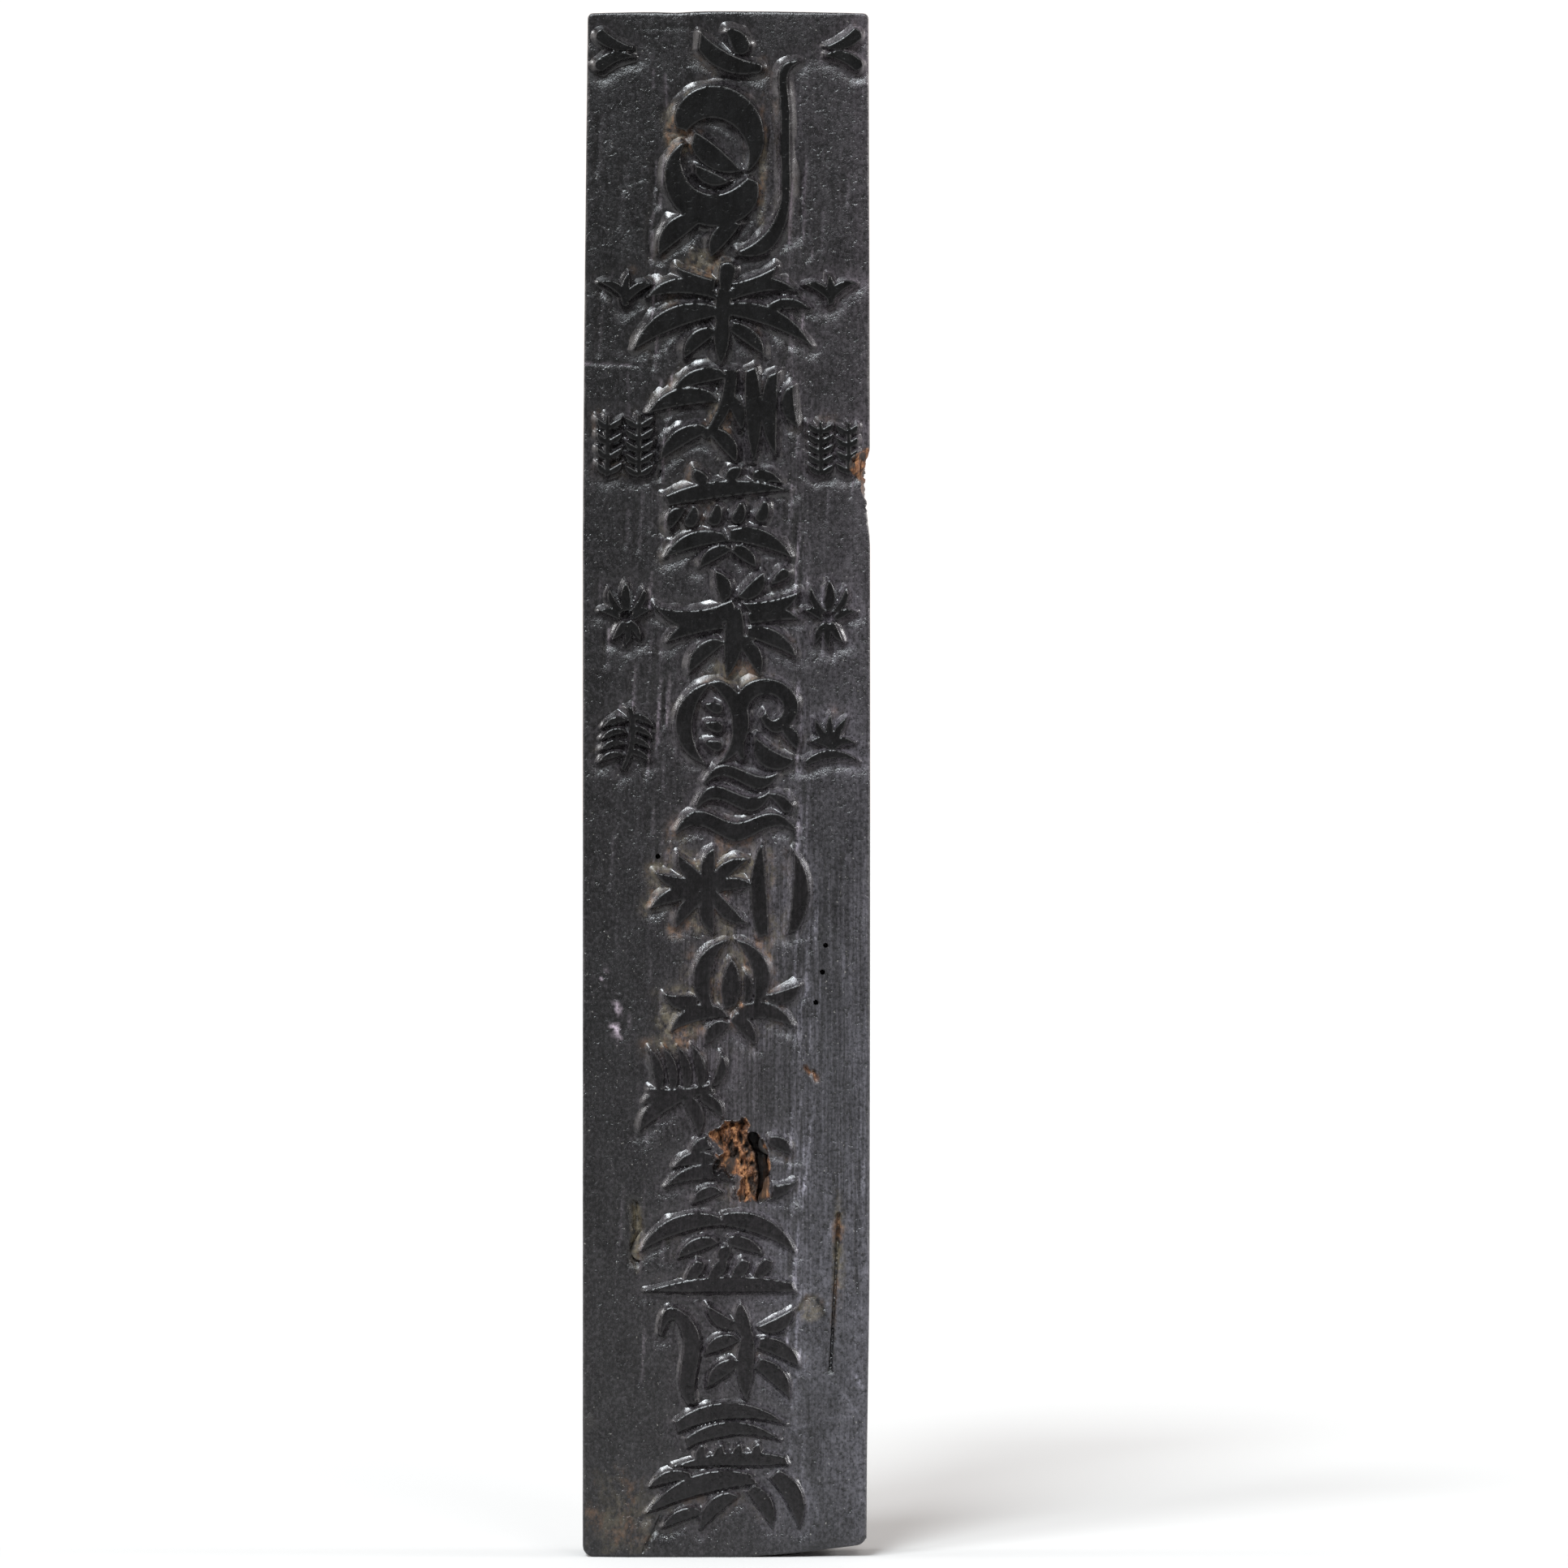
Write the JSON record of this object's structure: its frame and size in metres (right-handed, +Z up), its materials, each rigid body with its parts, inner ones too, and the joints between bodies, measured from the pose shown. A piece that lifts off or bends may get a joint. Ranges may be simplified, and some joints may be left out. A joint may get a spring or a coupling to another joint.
{
  "type": "carved wooden printing block",
  "caption": "Tall narrow wooden block, blackened with ink, with brush-like ornaments standing in relief on its printing face; stands on its end or lies on its back for printing.",
  "frame": {"origin": "middle of the foot: centre of the width and of the depth, on the plane that the block stands on", "axes": "+X to the right when facing the printing face, +Z up along the grain, the printing face towards -Y and the back towards +Y"},
  "size_m": [0.0856, 0.024, 0.46],
  "materials": {
    "inked_wood": "satin, ink-blackened, worn",
    "printing_tops": "semi-gloss, ink-polished"
  },
  "bodies": {
    "root": {"block": "inked_wood", "blossom": "printing_tops", "fallen_leaves": "printing_tops", "grass_blades": "printing_tops", "iris": "printing_tops", "leaning_reeds": "printing_tops", "left_bud": "printing_tops", "left_burst": "printing_tops", "left_corner_drops": "printing_tops", "left_sprig": "printing_tops", "left_thicket": "printing_tops", "long_stem": "printing_tops", "lotus_bud": "printing_tops", "palm_fan": "printing_tops", "right_bud": "printing_tops", "right_corner_drops": "printing_tops", "right_mound": "printing_tops", "right_sprig": "printing_tops", "right_thicket": "printing_tops", "scroll_flourish": "printing_tops", "shell_and_grass": "printing_tops", "sheltering_leaves": "printing_tops", "top_bar": "printing_tops", "twin_pods": "printing_tops", "wave_crests": "printing_tops", "wide_spray": "printing_tops", "windblown_spray": "printing_tops"}
  },
  "joints": []
}
